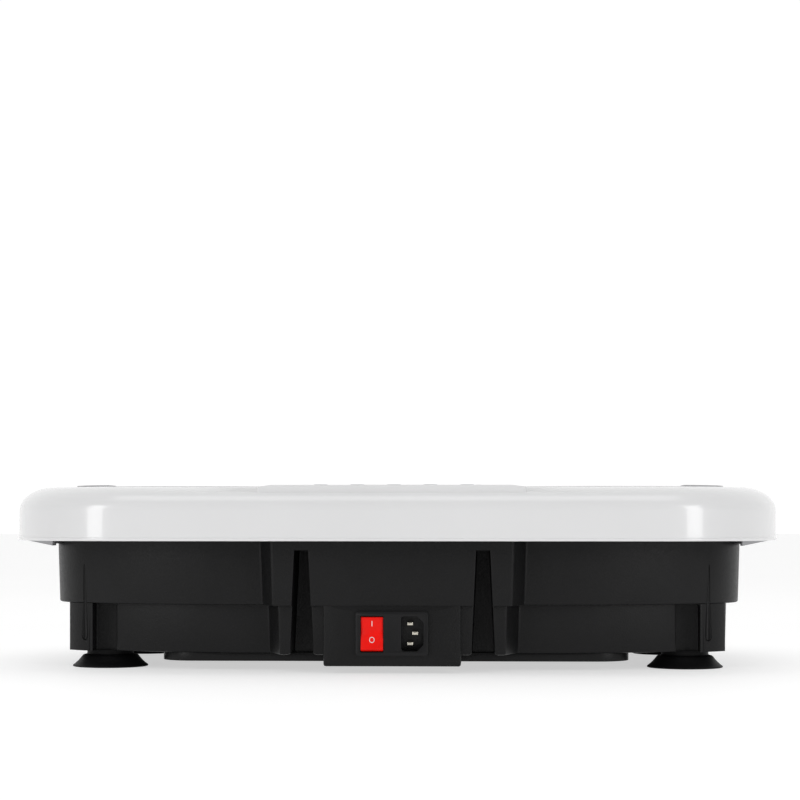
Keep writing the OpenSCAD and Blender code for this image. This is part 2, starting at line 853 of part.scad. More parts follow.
module tray_screws() {
    color([0.72, 0.73, 0.75])
        for (p = tray_spots) {
            post(p[0], p[1], tray_z[0] - 0.8, tray_z[0], 3.4);
            post(p[0], p[1], tray_z[0], 107, 1.75);
        }
}

module rail(sy) {
    y = sy * rail_y;
    difference() {
        box([-rail_hx, rail_hx], [y - rail_w / 2, y + rail_w / 2], [rail_z, deck_under]);
        box([-rail_hx - 1, rail_hx + 1],
            [y - rail_w / 2 + (sy > 0 ? -1 : 2.5), y + rail_w / 2 + (sy > 0 ? -2.5 : 1)],
            [rail_z + 2.5, deck_under - 2.5]);
    }
}

module crossbar(x, half) {
    y = rail_y - rail_w / 2;
    box([x - half, x + half], [-y, y], [rail_z, rail_z + 4]);
    for (sx = [-1, 1])
        box([x + sx * (half - 1.5) - 1.5, x + sx * (half - 1.5) + 1.5], [-y, y],
            [rail_z + 4, deck_under]);
}

module deck_frame() {
    color([0.45, 0.47, 0.50])
        union() {
            rail(-1);
            rail(1);
            crossbar(0, 24);
            crossbar(crank_x, 16);
            crossbar(-crank_x, 16);
            crossbar(195, 14);
            crossbar(-195, 14);
        }
}

module hanger(y0, y1) {
    color([0.38, 0.40, 0.42])
        difference() {
            union() {
                along_y([[-22, rail_z], [-15, pivot_z], [15, pivot_z], [22, rail_z]], y0, y1);
                rod_y(0, pivot_z, y0, y1, 16);
            }
            rod_y(0, pivot_z, y0 - 1, y1 + 1, bush_r);
        }
}

module pivot_hanger_front() hanger(-hanger_y[1], -hanger_y[0]);
module pivot_hanger_rear() hanger(hanger_y[0], hanger_y[1]);

module pivot_bushes() {
    color([0.80, 0.62, 0.30])
        for (sy = [-1, 1])
            translate([0, sy * (hanger_y[0] + hanger_y[1]) / 2, pivot_z])
                rotate([90, 0, 0])
                    difference() {
                        union() {
                            cylinder(r = bush_r - 0.02, h = 12, center = true);
                            for (s = [-1, 1])
                                translate([0, 0, s * 6.75])
                                    cylinder(r = 13.5, h = 1.5, center = true);
                        }
                        cylinder(r = shaft_r + run_gap, h = 20, center = true);
                    }
}

module rod_clevis() {
    color([0.38, 0.40, 0.42])
        difference() {
            union() {
                box([crank_x - 12, crank_x + 12], [-15, 15], [rail_z - 3, rail_z]);
                for (sy = [-1, 1])
                    box([crank_x - 9, crank_x + 9], [sy * 11 - 3, sy * 11 + 3], [90, rail_z - 3]);
            }
            rod_y(crank_x, rod_pin_z, -20, 20, rod_pin_r + screw_gap);
        }
}

module rod_pin() {
    color([0.75, 0.76, 0.78])
        union() {
            rod_y(crank_x, rod_pin_z, -17, 17, rod_pin_r);
            rod_y(crank_x, rod_pin_z, -19, -14.1, 6);
        }
}

// ---- rod, crank and motor ----

module connecting_rod() {
    color([0.50, 0.52, 0.55])
        difference() {
            union() {
                rod_y(crank_x, crank_z, -7, 7, rod_eye_r);
                rod_y(crank_x, rod_pin_z, -7, 7, 8.5);
                box([crank_x - 7, crank_x + 7], [-5, 5], [crank_z + rod_bore_r + 2, rod_pin_z]);
            }
            rod_y(crank_x, crank_z, -8, 8, rod_bore_r);
            rod_y(crank_x, rod_pin_z, -8, 8, rod_bush_r);
        }
}

module rod_bush() {
    color([0.80, 0.62, 0.30])
        difference() {
            rod_y(crank_x, rod_pin_z, -7, 7, rod_bush_r - 0.02);
            rod_y(crank_x, rod_pin_z, -8, 8, rod_pin_r + run_gap);
        }
}

module crank_shaft() {
    color([0.75, 0.76, 0.78])
        union() {
            rod_y(crank_x, crank_z, -42, 64, journal_r);
            rod_y(crank_x, crank_z, -25, -9, 9);
            rod_y(crank_x, crank_z, 9, 25, 9);
            rod_y(crank_x + throw, crank_z, -9, 9, sheave_r);
        }
}

module eccentric_bearing() {
    color([0.70, 0.71, 0.73])
        translate([crank_x + throw, 0, crank_z])
            rotate([90, 0, 0])
                rotate_extrude()
                    polygon([[sheave_r + 0.02, -6], [12.4, -6], [12.4, -5.4], [13.8, -5.4],
                        [13.8, -6], [rod_bearing_r, -6], [rod_bearing_r, 6], [13.8, 6],
                        [13.8, 5.4], [12.4, 5.4], [12.4, 6], [sheave_r + 0.02, 6]]);
}

module grooved_pulley(x, r, bore) {
    w = pulley_y[1] - pulley_y[0];
    translate([x, (pulley_y[0] + pulley_y[1]) / 2, crank_z])
        rotate([90, 0, 0])
            rotate_extrude($fn = 72)
                polygon([[bore, -w / 2], [r + 3, -w / 2], [r + 3, -w / 2 + 1], [r, -w / 2 + 1],
                    [r, w / 2 - 1], [r + 3, w / 2 - 1], [r + 3, w / 2], [bore, w / 2]]);
}

module driven_pulley() {
    color([0.60, 0.62, 0.64])
        grooved_pulley(crank_x, big_pulley_r, journal_r + 0.02);
}

module motor_pulley() {
    color([0.60, 0.62, 0.64])
        grooved_pulley(motor_x, small_pulley_r, rotor_r + 0.02);
}

module motor_rotor() {
    color([0.72, 0.66, 0.55])
        union() {
            rod_y(motor_x, crank_z, motor_y[0] + 3, pulley_y[1] + 3, rotor_r);
            rod_y(motor_x, crank_z, motor_y[0] + 20, motor_y[1] - 16, 23);
        }
}

// ---- mats, nubs and console ----

module mat_region(grow, z0, z1) {
    translate([mat_c, 0, 0])
        prism(superellipse(mat_a + grow, mat_b + grow, mat_power, 72), z0, z1);
}

module crescent(y0, y1) {
    intersection() {
        difference() {
            mat_region(-1, mat_z, mat_z + crescent_t);
            translate([-20, 0, 0])
                mat_region(-7, mat_z - 1, mat_z + crescent_t + 1);
        }
        box([208, 260], [y0, y1], [mat_z, mat_z + crescent_t]);
    }
}

module foot_mat() {
    color([0.62, 0.62, 0.64])
        difference() {
            union() {
                mat_region(0, deck_top, mat_z);
                crescent(-90, -2);
                for (i = [0:5])
                    post(97 + 5.6 * i, 88, mat_z, mat_z + 0.8, 1.4);
            }
            for (i = [-4:4])
                box([100, 200], [18 * i - 1, 18 * i + 1], [mat_z - 0.4, mat_z + 0.1]);
        }
}

module foot_mat_right() foot_mat();
module foot_mat_left() mirror([1, 0, 0]) foot_mat();

module mat_accents() {
    color([0.88, 0.18, 0.50])
        both_sides()
            crescent(-1.6, 90);
}

module nub_strip() {
    color([0.88, 0.18, 0.50])
        union() {
            box([-82, 82], [nub_y - 6, nub_y + 6], [deck_top, deck_top + 0.6]);
            for (i = [0:nub_count - 1]) {
                x = nub_pitch * (i - (nub_count - 1) / 2);
                h = 2 - 1.1 * pow(x / 75, 2);
                translate([x, nub_y, deck_top + 0.3]) {
                    cylinder(r = 3.2, h = h / 2 - 0.3);
                    translate([0, 0, h / 2 - 0.3])
                        cylinder(r1 = 3.2, r2 = 1.8, h = h / 2);
                }
            }
        }
}

module console_panel() {
    color([0.12, 0.12, 0.14])
        difference() {
            box([0.1 - panel_half, panel_half - 0.1], panel_y + [0.1, -0.1],
                [plateau_top - panel_t, plateau_top]);
            box([-window_half[0], window_half[0]],
                [window_y - window_half[1], window_y + window_half[1]],
                [plateau_top - panel_t - 1, plateau_top + 1]);
            button_spots()
                post(0, 0, plateau_top - 3, plateau_top + 1, button_r + move_gap);
            post(60, window_y, plateau_top - 3, plateau_top + 1, 2.5 + run_gap);
        }
}

module display_window() {
    color([0.15, 0.05, 0.08])
        box([0.1 - window_half[0], window_half[0] - 0.1],
            [window_y - window_half[1] + 0.1, window_y + window_half[1] - 0.1],
            [plateau_top - panel_t, plateau_top + 0.2]);
}

module display_board() {
    color([0.10, 0.35, 0.18])
        union() {
            box([-68, 68], [-152, -102], [display_z, display_z + pcb_t]);
            box([-23, 23], [window_y - 5.5, window_y + 5.5], [display_z + pcb_t, deck_under - 0.5]);
            button_spots()
                box([-3, 3], [-3, 3], [display_z + pcb_t, deck_under - 1.8 - button_travel]);
            box([57, 63], [window_y - 3, window_y + 3], [display_z + pcb_t, deck_under - 1]);
        }
}

module ir_window() {
    color([0.20, 0.03, 0.05])
        post(60, window_y, deck_under, plateau_top + 0.3, 2.5);
}

module push_button(i) {
    color([0.85, 0.86, 0.88])
        translate([button_pitch * i, button_y, 0]) {
            post(0, 0, deck_under - 1.4, plateau_top + 0.9, button_r);
            post(0, 0, deck_under - 1.4, deck_under - 0.1, button_r + 1.5);
        }
}

module button_power() push_button(-2);
module button_mode() push_button(-1);
module button_slower() push_button(0);
module button_faster() push_button(1);
module button_timer() push_button(2);

base_tub();
bottom_pan();
suction_foot_front_left();
suction_foot_front_right();
suction_foot_rear_left();
suction_foot_rear_right();
foot_bolts();
foot_nuts();
base_frame();
chassis_screws();
pivot_block_front();
pivot_block_rear();
pivot_shaft();
crank_block_front();
crank_block_rear();
crank_bearing_front();
crank_bearing_rear();
motor_body();
motor_cradle();
drive_belt();
buffer_posts();
rubber_buffers();
power_board();
transformer();
inlet_housing();
inlet_pins();
rocker_switch();
mains_leads();
motor_leads();
display_lead();
block_screws();
deck_cover();
deck_tray();
deck_frame();
pivot_hanger_front();
pivot_hanger_rear();
pivot_bushes();
rod_clevis();
rod_pin();
tray_screws();
foot_mat_left();
foot_mat_right();
mat_accents();
nub_strip();
console_panel();
display_window();
display_board();
ir_window();
button_power();
button_mode();
button_slower();
button_faster();
button_timer();
crank_shaft();
eccentric_bearing();
driven_pulley();
connecting_rod();
rod_bush();
motor_rotor();
motor_pulley();
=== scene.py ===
"""The looks of a rocking vibration plate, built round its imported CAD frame, in metres."""

import json
import math

import bmesh
import bpy
from mathutils import Matrix, Vector

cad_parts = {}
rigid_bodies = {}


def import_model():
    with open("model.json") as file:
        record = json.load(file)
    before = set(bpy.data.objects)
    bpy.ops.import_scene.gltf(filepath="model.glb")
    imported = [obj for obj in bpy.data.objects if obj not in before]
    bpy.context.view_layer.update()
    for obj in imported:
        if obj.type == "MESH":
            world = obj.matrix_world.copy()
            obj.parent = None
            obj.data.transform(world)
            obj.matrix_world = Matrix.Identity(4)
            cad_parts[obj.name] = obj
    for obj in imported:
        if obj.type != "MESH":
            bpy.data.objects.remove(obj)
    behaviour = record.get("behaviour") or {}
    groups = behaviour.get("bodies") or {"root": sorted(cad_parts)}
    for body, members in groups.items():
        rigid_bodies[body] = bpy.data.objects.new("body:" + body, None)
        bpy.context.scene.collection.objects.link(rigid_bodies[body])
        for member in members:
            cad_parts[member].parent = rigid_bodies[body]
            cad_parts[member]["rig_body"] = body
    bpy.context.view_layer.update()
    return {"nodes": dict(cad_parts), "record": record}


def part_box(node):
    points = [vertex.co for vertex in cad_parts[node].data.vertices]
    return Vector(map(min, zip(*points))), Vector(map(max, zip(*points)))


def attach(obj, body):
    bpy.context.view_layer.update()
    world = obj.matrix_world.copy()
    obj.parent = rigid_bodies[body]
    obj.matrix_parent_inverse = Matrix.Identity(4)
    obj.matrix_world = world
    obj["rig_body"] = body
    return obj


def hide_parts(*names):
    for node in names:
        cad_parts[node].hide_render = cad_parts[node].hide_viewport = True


MM = 0.001

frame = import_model()
slot_of = {s["node"]: s["material_slot"] for s in frame["record"]["subparts"]}
body_of = {name: node["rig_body"] for name, node in frame["nodes"].items()}


# ---- materials ----


class Shader:
    """A material with one Principled shader and small helpers for its nodes."""

    def __init__(self, name, roughness=0.5, metallic=0.0, specular=0.5, coat=0.0, coat_rough=0.1):
        self.material = bpy.data.materials.new(name)
        self.material.use_nodes = True
        self.nodes = self.material.node_tree.nodes
        self.links = self.material.node_tree.links
        self.principled = self.nodes["Principled BSDF"]
        self.set("Roughness", roughness)
        self.set("Metallic", metallic)
        self.set("Specular IOR Level", specular)
        self.set("Coat Weight", coat)
        self.set("Coat Roughness", coat_rough)
        self.coords = self.nodes.new("ShaderNodeTexCoord")
        self.height = None

    def set(self, socket, value):
        self.principled.inputs[socket].default_value = value

    def noise(self, scale, detail=4.0, stretch=(1, 1, 1)):
        mapping = self.nodes.new("ShaderNodeMapping")
        mapping.inputs["Scale"].default_value = stretch
        self.links.new(self.coords.outputs["Object"], mapping.inputs["Vector"])
        noise = self.nodes.new("ShaderNodeTexNoise")
        noise.inputs["Scale"].default_value = scale
        noise.inputs["Detail"].default_value = detail
        self.links.new(mapping.outputs["Vector"], noise.inputs["Vector"])
        return noise.outputs["Fac"]

    def ramp(self, value, low, high, start=0.35, end=0.65):
        ramp = self.nodes.new("ShaderNodeValToRGB")
        ramp.color_ramp.elements[0].position = start
        ramp.color_ramp.elements[1].position = end
        ramp.color_ramp.elements[0].color = (*low, 1)
        ramp.color_ramp.elements[1].color = (*high, 1)
        self.links.new(value, ramp.inputs["Fac"])
        return ramp.outputs["Color"]

    def range(self, value, low, high):
        mapped = self.nodes.new("ShaderNodeMapRange")
        mapped.inputs["From Min"].default_value = 0.3
        mapped.inputs["From Max"].default_value = 0.7
        mapped.inputs["To Min"].default_value = low
        mapped.inputs["To Max"].default_value = high
        self.links.new(value, mapped.inputs["Value"])
        return mapped.outputs["Result"]

    def colour(self, output):
        self.links.new(output, self.principled.inputs["Base Color"])

    def rough(self, output):
        self.links.new(output, self.principled.inputs["Roughness"])

    def bump(self, value, distance, strength=1.0):
        bump = self.nodes.new("ShaderNodeBump")
        bump.inputs["Distance"].default_value = distance
        bump.inputs["Strength"].default_value = strength
        self.links.new(value, bump.inputs["Height"])
        if self.height is not None:
            self.links.new(self.height, bump.inputs["Normal"])
        self.height = bump.outputs["Normal"]
        self.links.new(self.height, self.principled.inputs["Normal"])


def shade(colour, factor):
    return tuple(min(1.0, c * factor) for c in colour)


def moulded(name, colour, rough, spread=0.05, vary=0.12, grain=900, depth=0.02, patch=40, **kw):
    """A plastic or rubber: slow variation of colour and gloss, and a fine grain."""
    s = Shader(name, rough, **kw)
    slow = s.noise(patch, 3)
    s.colour(s.ramp(slow, shade(colour, 1 - vary), shade(colour, 1 + vary)))
    fine = s.noise(grain, 2)
    s.rough(s.range(fine, rough - spread, rough + spread))
    s.bump(fine, depth * MM)
    return s.material


def metal(name, colour, rough, stretch=(1, 1, 1), grain=300, depth=0.01, vary=0.15, metallic=1.0):
    """A metal with drawn or cast grain; stretch gives the grain its direction."""
    s = Shader(name, rough, metallic)
    fine = s.noise(grain, 5, stretch)
    s.colour(s.ramp(fine, shade(colour, 1 - vary), shade(colour, 1 + vary)))
    s.rough(s.range(fine, rough * 0.7, rough * 1.3))
    s.bump(fine, depth * MM)
    return s.material


TURNED = (1, 40, 1)
MATERIALS = {
    "textured_black_plastic": moulded(
        "textured_black_plastic", (0.0036, 0.0036, 0.0039), 0.4, 0.12, 0.15, 1100, 0.16, 30,
        specular=0.22),
    "satin_black_plastic": moulded(
        "satin_black_plastic", (0.006, 0.006, 0.0066), 0.34, 0.05, 0.10, 1800, 0.02,
        specular=0.22),
    "black_rubber": moulded(
        "black_rubber", (0.0035, 0.0035, 0.0038), 0.5, 0.08, 0.15, 1200, 0.03, specular=0.12),
    "white_gloss_plastic": moulded(
        "white_gloss_plastic", (0.74, 0.74, 0.745), 0.22, 0.02, 0.012, 500, 0.004, 8,
        coat=0.5, coat_rough=0.05),
    "white_satin_plastic": moulded(
        "white_satin_plastic", (0.42, 0.42, 0.43), 0.4, 0.04, 0.03, 900, 0.01),
    "pink_rubber": moulded(
        "pink_rubber", (0.72, 0.10, 0.36), 0.42, 0.06, 0.08, 1400, 0.02, 60),
    "grey_mat": moulded(
        "grey_mat", (0.50, 0.50, 0.51), 0.6, 0.08, 0.10, 1400, 0.04, 60),
    "red_plastic": moulded(
        "red_plastic", (0.90, 0.008, 0.004), 0.34, 0.03, 0.05, 1500, 0.008, 90, specular=0.15),
    "console_plastic": moulded(
        "console_plastic", (0.015, 0.015, 0.018), 0.18, 0.03, 0.10, 800, 0.004, coat=0.5),
    "button_plastic": moulded(
        "button_plastic", (0.60, 0.61, 0.63), 0.35, 0.05, 0.05, 1500, 0.01),
    "smoked_window": moulded(
        "smoked_window", (0.020, 0.004, 0.006), 0.1, 0.02, 0.10, 600, 0.002, coat=1.0),
    "circuit_board": moulded(
        "circuit_board", (0.01, 0.14, 0.05), 0.38, 0.08, 0.35, 500, 0.03, 150),
    "transformer_core": moulded(
        "transformer_core", (0.26, 0.17, 0.06), 0.4, 0.10, 0.35, 700, 0.04, 90),
    "painted_steel": moulded(
        "painted_steel", (0.13, 0.14, 0.15), 0.42, 0.08, 0.12, 800, 0.03, 50),
    "motor_steel": moulded(
        "motor_steel", (0.07, 0.075, 0.085), 0.38, 0.08, 0.15, 700, 0.03, 60, metallic=0.6),
    "cast_iron": moulded(
        "cast_iron", (0.14, 0.145, 0.155), 0.55, 0.10, 0.25, 450, 0.12, 90, metallic=0.7),
    "zinc_steel": metal("zinc_steel", (0.62, 0.63, 0.66), 0.32),
    "ground_steel": metal("ground_steel", (0.66, 0.67, 0.69), 0.22, TURNED),
    "cast_aluminium": metal("cast_aluminium", (0.70, 0.71, 0.72), 0.34, TURNED),
    "nickel_brass": metal("nickel_brass", (0.80, 0.76, 0.66), 0.25),
    "bronze": metal("bronze", (0.62, 0.40, 0.16), 0.4),
    "brown_wire": moulded("brown_wire", (0.12, 0.05, 0.02), 0.4, 0.05, 0.1, 900, 0.01),
    "blue_wire": moulded("blue_wire", (0.02, 0.06, 0.32), 0.4, 0.05, 0.1, 900, 0.01),
    "pale_wire": moulded("pale_wire", (0.55, 0.55, 0.55), 0.4, 0.05, 0.05, 900, 0.01),
}


def paint(obj, slot):
    obj.data.materials.clear()
    obj.data.materials.append(MATERIALS[slot])


for node_name, node_object in frame["nodes"].items():
    paint(node_object, slot_of[node_name])

# ---- mesh helpers ----


def new_piece(name, bm, body, slot, *replaced):
    """A closed mesh from bmesh, in millimetres, that rides on a body and stands for CAD nodes."""
    bmesh.ops.remove_doubles(bm, verts=bm.verts, dist=1e-4)
    bmesh.ops.recalc_face_normals(bm, faces=bm.faces)
    bm.transform(Matrix.Scale(MM, 4))
    mesh = bpy.data.meshes.new(name)
    bm.to_mesh(mesh)
    bm.free()
    obj = bpy.data.objects.new(name, mesh)
    bpy.context.scene.collection.objects.link(obj)
    if slot:
        paint(obj, slot)
    if body:
        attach(obj, body)
    if replaced:
        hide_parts(*replaced)
    return obj


def settle(obj, sharp=32):
    """Applies the modifiers of an object and shades it smooth, with sharp edges by angle."""
    slots = list(obj.data.materials)
    evaluated = obj.evaluated_get(bpy.context.evaluated_depsgraph_get())
    obj.data = bpy.data.meshes.new_from_object(evaluated)
    obj.modifiers.clear()
    obj.data.materials.clear()
    for material in slots:
        obj.data.materials.append(material)
    obj.data.shade_smooth()
    obj.data.set_sharp_from_angle(angle=math.radians(sharp))


def bevel(obj, width, segments=2, angle=35):
    modifier = obj.modifiers.new("bevel", "BEVEL")
    modifier.width = width * MM
    modifier.segments = segments
    modifier.limit_method = "ANGLE"
    modifier.angle_limit = math.radians(angle)
    weighted = obj.modifiers.new("weighted", "WEIGHTED_NORMAL")
    weighted.keep_sharp = True


def boolean(obj, tools, operation):
    for tool in tools:
        modifier = obj.modifiers.new("boolean", "BOOLEAN")
        modifier.operation = operation
        modifier.solver = "EXACT"
        modifier.object = tool
    settle(obj)
    for tool in tools:
        bpy.data.objects.remove(tool)


def loft(bm, rows, cap_first=True, cap_last=True):
    """Closed loops of points with the same count, joined by quads."""
    made = [[bm.verts.new(p) for p in row] for row in rows]
    n = len(made[0])
    for low, high in zip(made, made[1:]):
        for i in range(n):
            bm.faces.new((low[i], low[(i + 1) % n], high[(i + 1) % n], high[i]))
    if cap_first:
        bm.faces.new(list(reversed(made[0])))
    if cap_last:
        bm.faces.new(made[-1])


def revolve(bm, profile, centre, axis="Z", steps=64):
    """A profile of (radius, height) pairs turned about an axis through centre."""
    rows = []
    for radius, height in profile:
        row = []
        for i in range(steps):
            t = 2 * math.pi * i / steps
            p = Vector((radius * math.cos(t), radius * math.sin(t), height))
            if axis == "X":
                p = Vector((p.z, p.x, p.y))
            row.append(Vector(centre) + p)
        rows.append(row)
    loft(bm, rows, profile[0][0] > 0, profile[-1][0] > 0)


def arc(cx, cy, r, start, end, count):
    """Points on an arc, in degrees, both ends included."""
    return [(cx + r * math.cos(math.radians(start + (end - start) * i / count)),
             cy + r * math.sin(math.radians(start + (end - start) * i / count)))
            for i in range(count + 1)]


def round_rect(cx, cy, hx, hy, r, count=8):
    return (arc(cx + hx - r, cy - hy + r, r, -90, 0, count)
            + arc(cx + hx - r, cy + hy - r, r, 0, 90, count)
            + arc(cx - hx + r, cy + hy - r, r, 90, 180, count)
            + arc(cx - hx + r, cy - hy + r, r, 180, 270, count))


def plate(bm, cx, cy, hx, hy, r, z0, z1, soft=0.3, count=8):
    """A plate with round corners in plan and softened upper and lower edges."""
    rows = [(soft, z0), (soft * 0.3, z0 + soft * 0.3), (0, z0 + soft), (0, z1 - soft),
            (soft * 0.3, z1 - soft * 0.3), (soft, z1)]
    loft(bm, [[(x, y, z) for x, y in
               round_rect(cx, cy, hx - d, hy - d, max(r - d, 0.05), count)] for d, z in rows])


def cutter(make):
    bm = bmesh.new()
    make(bm)
    return new_piece("cutter", bm, None, None)


def refined(node, width, sharp=32):
    """A copy of a CAD node with softened edges and smooth normals, which stands for that node."""
    source = frame["nodes"][node]
    bm = bmesh.new()
    bm.from_mesh(source.data)
    bmesh.ops.remove_doubles(bm, verts=bm.verts, dist=1e-6)
    bmesh.ops.dissolve_limit(bm, angle_limit=math.radians(0.5), verts=bm.verts, edges=bm.edges)
    bm.transform(Matrix.Scale(1 / MM, 4))
    piece = new_piece(node + "_skin", bm, body_of[node], slot_of[node], node)
    if width:
        bevel(piece, width)
    settle(piece, sharp)
    return piece


# ---- deck cover ----

DECK_HX, DECK_HY, DECK_CORNER = 275, 170, 95
RIM_Z, DECK_TOP, WALL = 92.5, 130.5, 3
EDGE_IN, EDGE_DOWN = 25, 17
PLATEAU_TOP, PLATEAU_HALF, PLATEAU_SLOPE = 131.5, 83.6, 9.1
PLATEAU_FRONT, PLATEAU_BACK = -161.5, -96
PANEL_HALF, PANEL_Y = 72, (-154, -103)
WINDOW_Y, WINDOW_HX, WINDOW_HY = -141, 28, 9
BUTTON_Y, BUTTON_PITCH, BUTTON_R = -116, 26, 5
IR_X, IR_R = 60, 2.5


def deck_profile():
    """Distance inside the outline, and height, from the inner top round to the outer top."""
    steps = 14
    inner, outer = [], []
    for i in range(steps + 1):
        t = math.radians(90 * i / steps)
        inner.append((WALL + (EDGE_IN - WALL) * (1 - math.cos(t)),
                      DECK_TOP - WALL - (EDGE_DOWN - WALL) * (1 - math.sin(t))))
        outer.append((0.5 + (EDGE_IN - 0.5) * (1 - math.cos(t)),
                      DECK_TOP - EDGE_DOWN * (1 - math.sin(t))))
    lip = [(WALL, RIM_Z + 0.7), (WALL - 0.25, RIM_Z + 0.2), (WALL - 0.8, RIM_Z),
           (0.8, RIM_Z), (0.22, RIM_Z + 0.22), (0, RIM_Z + 0.8), (0, RIM_Z + 1.8),
           (0.12, RIM_Z + 2.15), (0.42, RIM_Z + 2.3), (0.5, RIM_Z + 2.7)]
    return list(reversed(inner)) + lip + outer


def openings(bm, window_hx, window_hy, window_r):
    """The button holes, the receiver's hole and the display window, as one cutter."""
    low, high = 120, 140
    for i in range(-2, 3):
        revolve(bm, [(BUTTON_R + 0.3, low), (BUTTON_R + 0.3, high)],
                (BUTTON_PITCH * i, BUTTON_Y, 0), steps=40)
    revolve(bm, [(IR_R + 0.05, low), (IR_R + 0.05, high)], (IR_X, WINDOW_Y, 0), steps=32)
    plate(bm, 0, WINDOW_Y, window_hx, window_hy, window_r, low, high, 0.01)


def deck_cover():
    bm = bmesh.new()
    loft(bm, [[(x, y, z) for x, y in
               round_rect(0, 0, DECK_HX - d, DECK_HY - d, DECK_CORNER - d, 28)]
              for d, z in deck_profile()])
    cover = new_piece("deck_shell", bm, "deck", "white_gloss_plastic", "deck_cover")

    def plateau(bm):
        foot = PLATEAU_HALF + PLATEAU_SLOPE
        half = [(foot + 0.6, 126), (foot, DECK_TOP - 0.2), (PLATEAU_HALF + 0.8, PLATEAU_TOP - 0.1),
                (PLATEAU_HALF - 0.6, PLATEAU_TOP)]
        section = half + [(-x, z) for x, z in reversed(half)]
        rows = []
        for y, inset in ((PLATEAU_FRONT, 0.7), (PLATEAU_FRONT + 0.2, 0.25),
                         (PLATEAU_FRONT + 0.7, 0), (PLATEAU_BACK - 5, 0), (PLATEAU_BACK + 4, 1.2)):
            rows.append([(x - math.copysign(inset, x), y, z - (inset if z > 127 else 0))
                         for x, z in section])
        loft(bm, rows)

    boolean(cover, [cutter(plateau)], "UNION")

    def recess(bm):
        plate(bm, 0, sum(PANEL_Y) / 2, PANEL_HALF, (PANEL_Y[1] - PANEL_Y[0]) / 2, 3,
              PLATEAU_TOP - 1, PLATEAU_TOP + 3, 0.01)

    boolean(cover, [cutter(recess)], "DIFFERENCE")
    boolean(cover, [cutter(lambda bm: openings(bm, WINDOW_HX - 4, WINDOW_HY - 3, 1))],
            "DIFFERENCE")
    weighted = cover.modifiers.new("weighted", "WEIGHTED_NORMAL")
    weighted.keep_sharp = True
    settle(cover, 30)


def console():
    bm = bmesh.new()
    plate(bm, 0, sum(PANEL_Y) / 2, PANEL_HALF - 0.1, (PANEL_Y[1] - PANEL_Y[0]) / 2 - 0.1, 3,
          PLATEAU_TOP - 1, PLATEAU_TOP, 0.2)
    panel = new_piece("console_film", bm, "deck", "console_plastic", "console_panel")
    boolean(panel, [cutter(lambda bm: openings(bm, WINDOW_HX, WINDOW_HY, 1.5))], "DIFFERENCE")
    bm = bmesh.new()
    plate(bm, 0, WINDOW_Y, WINDOW_HX - 0.1, WINDOW_HY - 0.1, 1.4, PLATEAU_TOP - 1,
          PLATEAU_TOP + 0.2, 0.25)
    window = new_piece("display_glass", bm, "deck", "smoked_window", "display_window")
    settle(window)
    for name in ("power", "mode", "slower", "faster", "timer"):
        refined("button_" + name, 0.45)
    refined("ir_window", 0.15)


# ---- base tub ----

LEDGE_Z, TUB_Z, TUB_TOP = 47, 12.5, 100
LOBE = (197, -48)
LOBE_JOIN = -60
FOOT_X, NOTCH_HALF = 210, 8.5
FRONT_POCKET, REAR_POCKET = 63.5, 32.7
POCKET_DEPTH = 42
UPPER = {"front": 150, "edge": 85, "bow": 240, "lobe": 55, "rear_y": 101}
LOWER = {"front": 142, "edge": 80, "bow": 230, "lobe": 45, "rear_y": 99}
BLOCK_SLOPE, REAR_X, REAR_R = 9, 196, 35
COLUMN_X, COLUMN_REAR_Y = 238, 84
NOTCH_FRONT_Y, NOTCH_REAR_Y = -82, 120
TUB_WALL = 3
GROOVES = ((225.2, -94.2), (222.3, 122.8))
GROOVE_PROFILE = ((0.4, 19.8), (2.2, 20.7), (3.2, 23), (0.5, 75))


class Tier:
    """One tier's outline, drawn in by an inset."""

    def __init__(self, sizes, inset):
        self.front = sizes["front"] - inset
        self.edge = sizes["edge"] - inset
        self.bow = sizes["bow"] - inset
        self.lobe = sizes["lobe"] - inset
        self.rear_r = REAR_R - inset
        self.rear_y = sizes["rear_y"]
        join = math.radians(LOBE_JOIN)
        reach = sizes["bow"] - sizes["lobe"]
        self.bow_x = LOBE[0] - reach * math.cos(join)
        self.bow_y = LOBE[1] - reach * math.sin(join)
        dx, dy = REAR_X - LOBE[0], self.rear_y - LOBE[1]
        self.side = math.degrees(math.atan2(dy, dx)
                                 - math.acos((self.lobe - self.rear_r) / math.hypot(dx, dy)))
        self.join_x = LOBE[0] + self.lobe * math.cos(join)

    def front_y(self, x):
        """The front wall at x, on the bow or on the lobe."""
        if x < self.join_x:
            return self.bow_y - math.sqrt(self.bow ** 2 - (x - self.bow_x) ** 2)
        return LOBE[1] - math.sqrt(max(self.lobe ** 2 - (x - LOBE[0]) ** 2, 0))

    def lobe_angle(self, x):
        return -math.degrees(math.acos((x - LOBE[0]) / self.lobe))

    def side_x(self, y):
        a = math.radians(self.side)
        low = (LOBE[0] + self.lobe * math.cos(a), LOBE[1] + self.lobe * math.sin(a))
        high = (REAR_X + self.rear_r * math.cos(a), self.rear_y + self.rear_r * math.sin(a))
        return low[0] + (high[0] - low[0]) * (y - low[1]) / (high[1] - low[1])

    def rear_corner_y(self, x):
        return self.rear_y + math.sqrt(self.rear_r ** 2 - (x - REAR_X) ** 2)


def pocket_half(z, low, mid, top, top_z):
    if z < LEDGE_Z:
        return low + (mid - low) * (z - TUB_Z) / (LEDGE_Z - TUB_Z)
    return mid + (top - mid) * (z - LEDGE_Z) / (top_z - LEDGE_Z)


